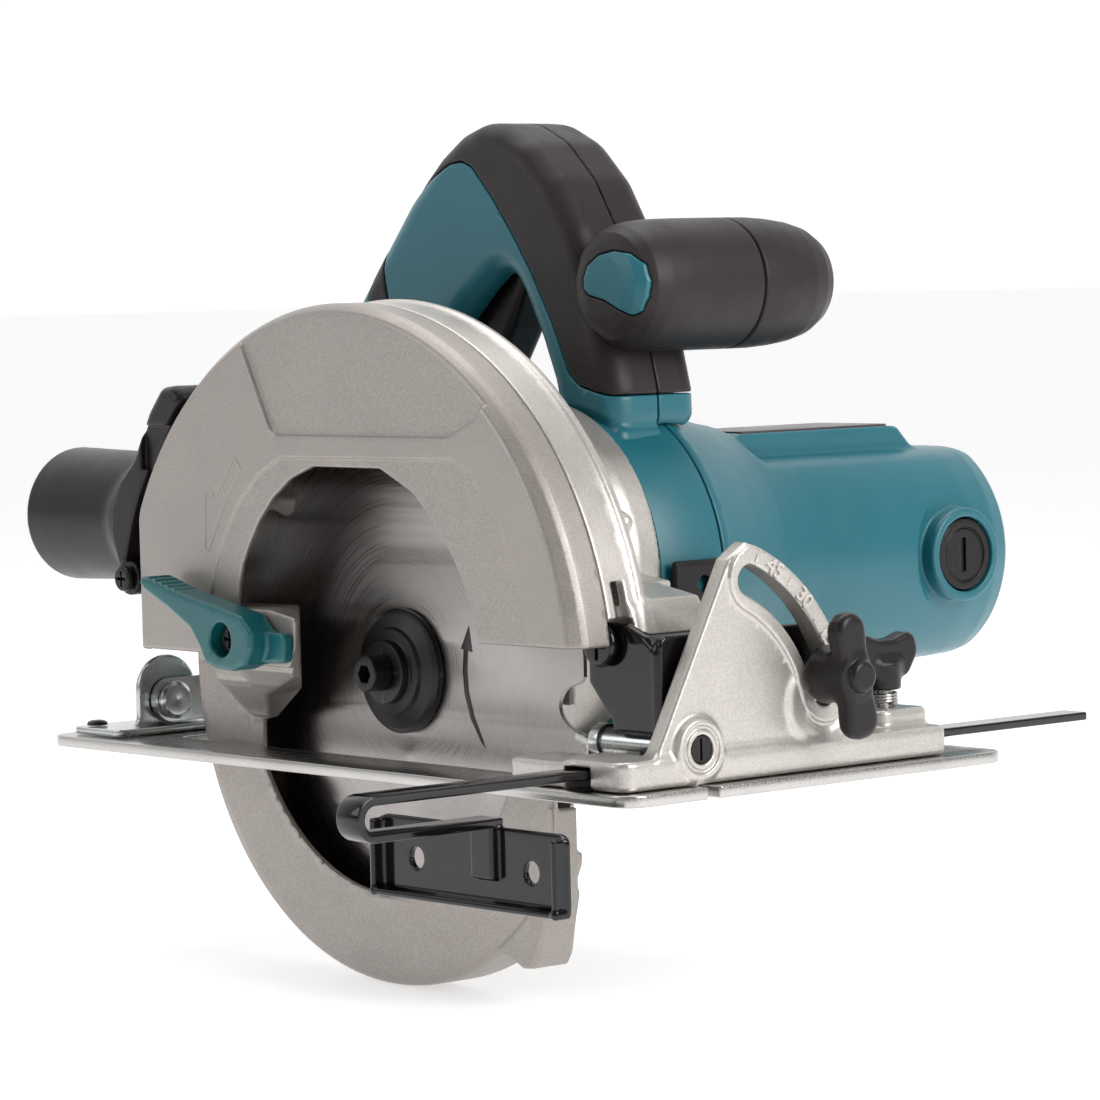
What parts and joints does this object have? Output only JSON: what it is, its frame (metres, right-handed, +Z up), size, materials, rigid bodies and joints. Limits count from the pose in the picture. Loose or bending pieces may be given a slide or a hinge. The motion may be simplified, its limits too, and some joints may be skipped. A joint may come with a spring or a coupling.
{
  "type": "circular saw",
  "caption": "Handheld corded circular saw with a steel sole, tilting and depth-adjusting body, spring-returned lower guard, rip fence and dust nozzle.",
  "frame": {"origin": "on the sole plane, at mid-width of the base plate, directly below the blade's axis", "axes": "+X is the cutting direction towards the front of the saw, +Y points to the motor side, +Z is up, away from the workpiece"},
  "size_m": [0.31, 0.3112, 0.2526],
  "materials": {
    "teal_plastic": "moulded glass-filled nylon, satin",
    "lever_teal": "moulded plastic, satin",
    "black_plastic": "moulded plastic, fine spark texture",
    "soft_grip": "soft overmoulded elastomer, fine grain",
    "silver_paint": "silver painted magnesium casting, fine texture",
    "cast_aluminium": "shot-blasted and lacquered aluminium casting",
    "blade_steel": "ground steel, circular grain",
    "plate_steel": "cold-rolled steel, satin",
    "black_oxide": "blackened steel",
    "zinc": "bright zinc plating",
    "gloss_black": "gloss black paint over pressed steel",
    "bearing_steel": "ground bearing and gear steel",
    "copper": "copper windings on laminated iron",
    "carbon": "pressed carbon",
    "label": "blank grey rating plate"
  },
  "bodies": {
    "base": {"base_plate": "plate_steel", "front_casting": "cast_aluminium", "bevel_pivot_pin": "black_oxide", "rear_hinge_bracket": "zinc", "rear_hinge_rivet_right": "black_oxide", "rear_hinge_rivet_left": "black_oxide", "rear_pivot_rivet": "zinc", "fence_screw_spring": "bearing_steel"},
    "fence": {"rip_fence": "gloss_black"},
    "fence_screw": {"fence_thumb_screw": "black_plastic"},
    "bevel_frame": {"front_tilt_bracket": "gloss_black", "depth_pivot_pin": "black_oxide", "rear_tilt_bracket": "zinc", "depth_guide": "zinc", "bevel_lock_nut": "bearing_steel"},
    "bevel_lock": {"bevel_wing_bolt": "black_plastic"},
    "saw_body": {"blade_case": "silver_paint", "gear_housing": "cast_aluminium", "bearing_box": "cast_aluminium", "guard_retaining_ring": "bearing_steel", "guard_spring": "bearing_steel", "motor_housing": "teal_plastic", "rating_plate": "label", "brush_cap_front": "black_plastic", "brush_cap_rear": "black_plastic", "carbon_brush_front": "carbon", "carbon_brush_rear": "carbon", "stator": "copper", "fan_baffle": "black_plastic", "motor_bearing_front": "bearing_steel", "motor_bearing_rear": "bearing_steel", "spindle_bearing_outer": "bearing_steel", "spindle_bearing_inner": "bearing_steel", "handle_shell_blade_side": "teal_plastic", "handle_shell_motor_side": "soft_grip", "front_grip": "soft_grip", "front_grip_end": "soft_grip", "front_grip_inlay": "teal_plastic", "trigger_pin": "bearing_steel", "switch_block": "black_plastic", "cord_inlet": "soft_grip", "wrench_holder": "black_plastic", "dust_nozzle": "black_plastic", "dust_nozzle_screw": "black_oxide", "depth_lock_bolt": "bearing_steel"},
    "guard": {"lower_guard": "silver_paint", "guard_lever": "lever_teal", "guard_lever_screw": "black_oxide"},
    "blade_spindle": {"saw_blade": "blade_steel", "outer_flange": "black_oxide", "blade_bolt": "black_oxide", "inner_flange": "bearing_steel", "spindle": "bearing_steel", "drive_gear": "bearing_steel"},
    "motor_rotor": {"armature": "copper", "cooling_fan": "black_plastic"},
    "trigger_lever": {"trigger": "black_plastic"},
    "lock_off": {"lock_off_button": "black_plastic"},
    "shaft_lock": {"shaft_lock_button": "black_plastic"},
    "depth_lever": {"depth_lock_lever": "black_plastic"}
  },
  "joints": [
    {"name": "fence_slide", "type": "slide", "parent": "base", "child": "fence", "axis": [0, -1, 0], "range_m": [0, 0.1]},
    {"name": "fence_screw_turn", "type": "hinge", "parent": "base", "child": "fence_screw", "pos_m": [0.1124, 0.045, 0.03], "axis": [0, 0, 1], "range_deg": [0, 180]},
    {"name": "bevel_tilt", "type": "hinge", "parent": "base", "child": "bevel_frame", "pos_m": [0.13, -0.043, 0.0134], "axis": [1, 0, 0], "range_deg": [0, 45]},
    {"name": "bevel_lock_turn", "type": "hinge", "parent": "bevel_frame", "child": "bevel_lock", "pos_m": [0.14, 0.00289, 0.03057], "axis": [1, 0, 0], "range_deg": [0, 180]},
    {"name": "depth_tilt", "type": "hinge", "parent": "bevel_frame", "child": "saw_body", "pos_m": [0.1, -0.04, 0.041], "axis": [0, 1, 0], "range_deg": [0, 33]},
    {"name": "guard_swing", "type": "hinge", "parent": "saw_body", "child": "guard", "pos_m": [0, -0.04, 0.028], "axis": [0, 1, 0], "range_deg": [0, 105], "stiffness_Nm_per_rad": 0.25, "springref_deg": -45.84},
    {"name": "armature_spin", "type": "hinge", "parent": "saw_body", "child": "motor_rotor", "pos_m": [0.02, -0.04, 0.054], "axis": [0, 1, 0], "continuous": true},
    {"name": "spindle_spin", "type": "hinge", "parent": "saw_body", "child": "blade_spindle", "pos_m": [0, -0.04, 0.028], "axis": [0, 1, 0], "continuous": true},
    {"name": "trigger_pull", "type": "hinge", "parent": "saw_body", "child": "trigger_lever", "pos_m": [-0.005, 0.018, 0.1455], "axis": [0, 1, 0], "range_deg": [0, 10], "stiffness_Nm_per_rad": 0.8, "springref_deg": -8.59},
    {"name": "lock_off_press", "type": "slide", "parent": "saw_body", "child": "lock_off", "axis": [0, -1, 0], "range_m": [0, 0.003], "stiffness_N_per_m": 600, "springref_m": -0.002},
    {"name": "shaft_lock_press", "type": "slide", "parent": "saw_body", "child": "shaft_lock", "axis": [1, 0, 0], "range_m": [0, 0.004], "stiffness_N_per_m": 600, "springref_m": -0.002},
    {"name": "depth_lever_turn", "type": "hinge", "parent": "saw_body", "child": "depth_lever", "pos_m": [-0.05, -0.003, 0.041], "axis": [0, 1, 0], "range_deg": [0, 40]}
  ],
  "couplings": [
    {"joint": "spindle_spin", "follows": "armature_spin", "ratio": -0.28571}
  ]
}
